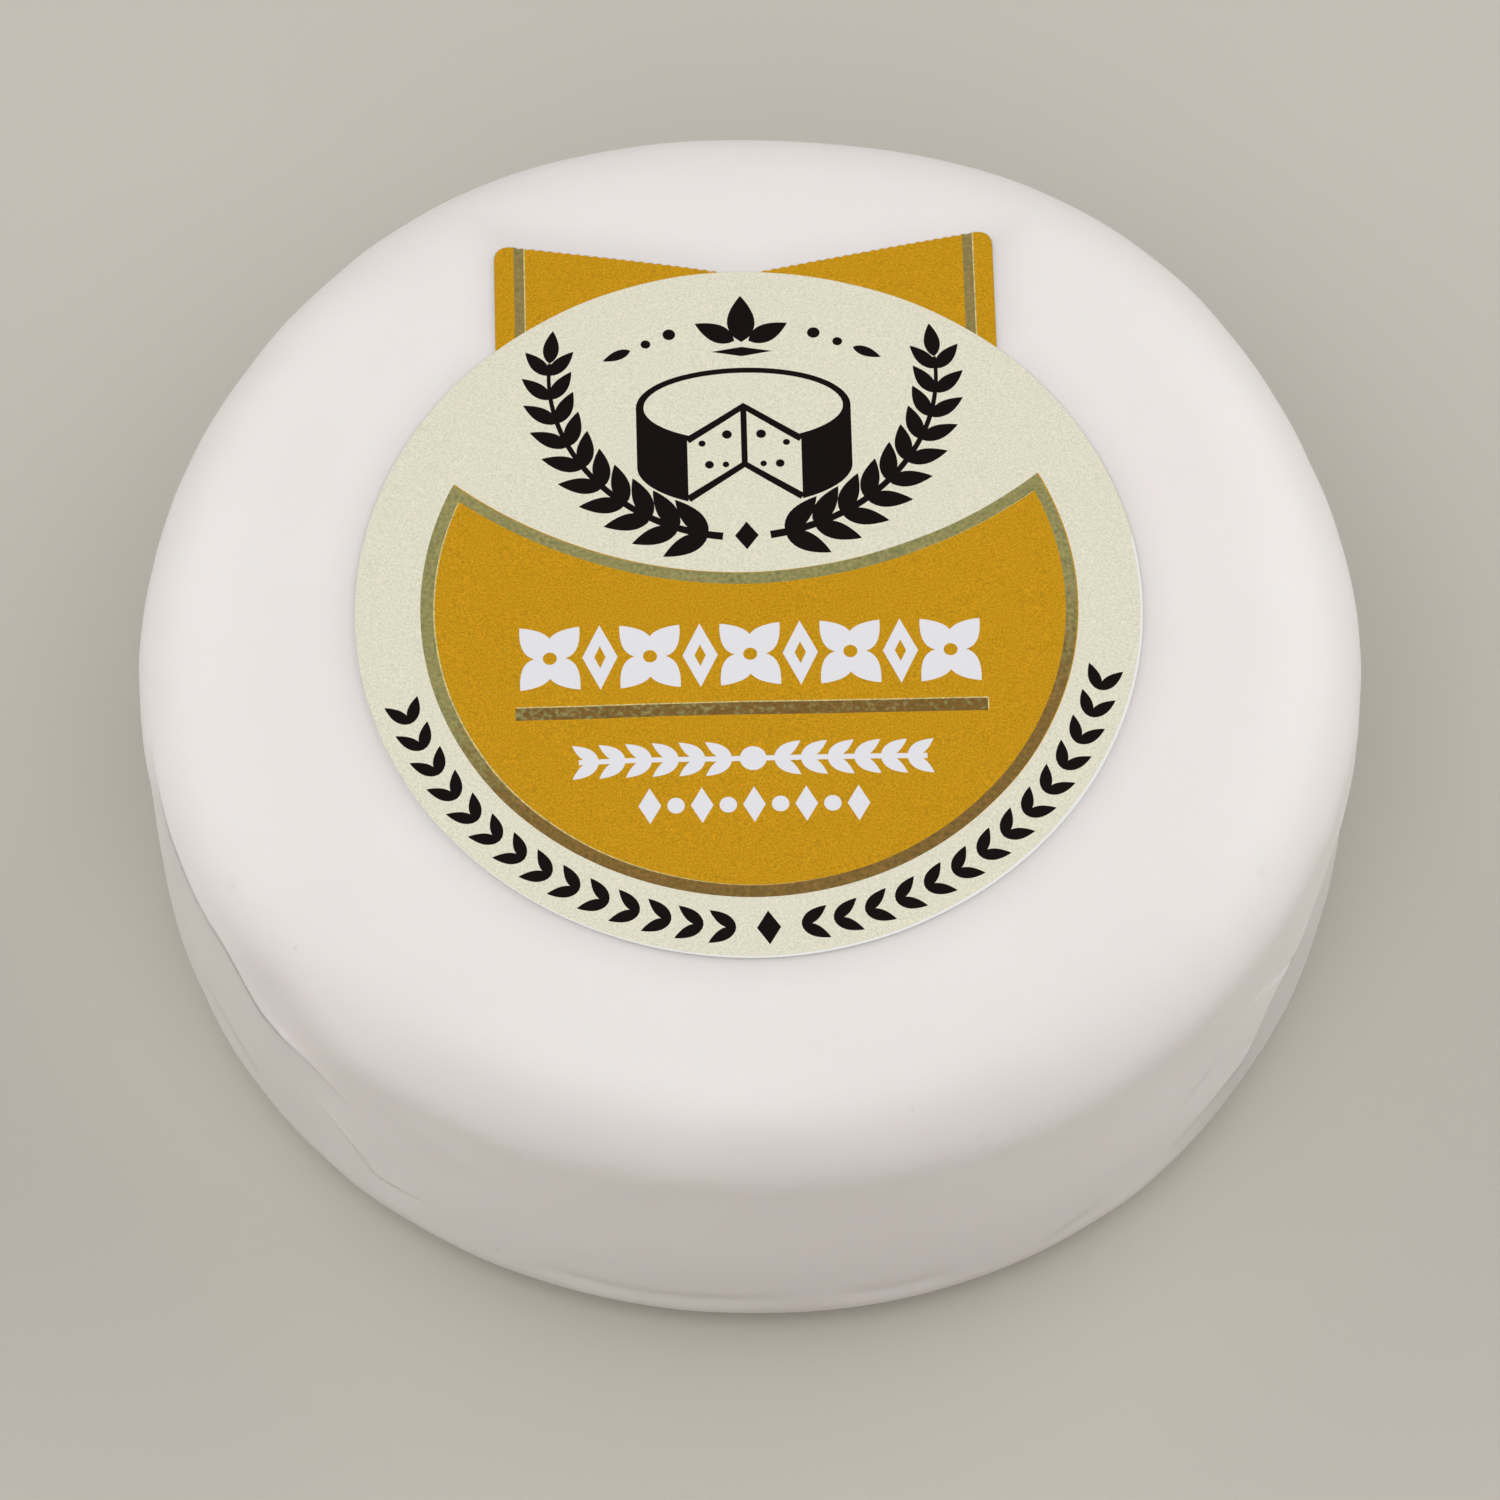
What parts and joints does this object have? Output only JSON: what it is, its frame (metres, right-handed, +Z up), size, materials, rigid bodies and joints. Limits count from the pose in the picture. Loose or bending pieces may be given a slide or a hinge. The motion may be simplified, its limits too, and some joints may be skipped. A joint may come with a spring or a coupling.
{
  "type": "waxed cheese truckle",
  "caption": "Small round cheese dipped in white wax, with a domed top, rounded shoulder and flat base to stand on, and a die-cut paper label stuck on the top.",
  "frame": {"origin": "middle of the flat base, on the truckle's upright axis", "axes": "+Z up through the label, -Y towards the side that the label is read from, +X to the reader's right"},
  "size_m": [0.0877, 0.0854, 0.0348],
  "materials": {
    "wax": "satin white wax",
    "label_paper": "printed cream label paper"
  },
  "bodies": {
    "root": {"waxed_truckle": "wax", "paper_label": "label_paper"}
  },
  "joints": []
}
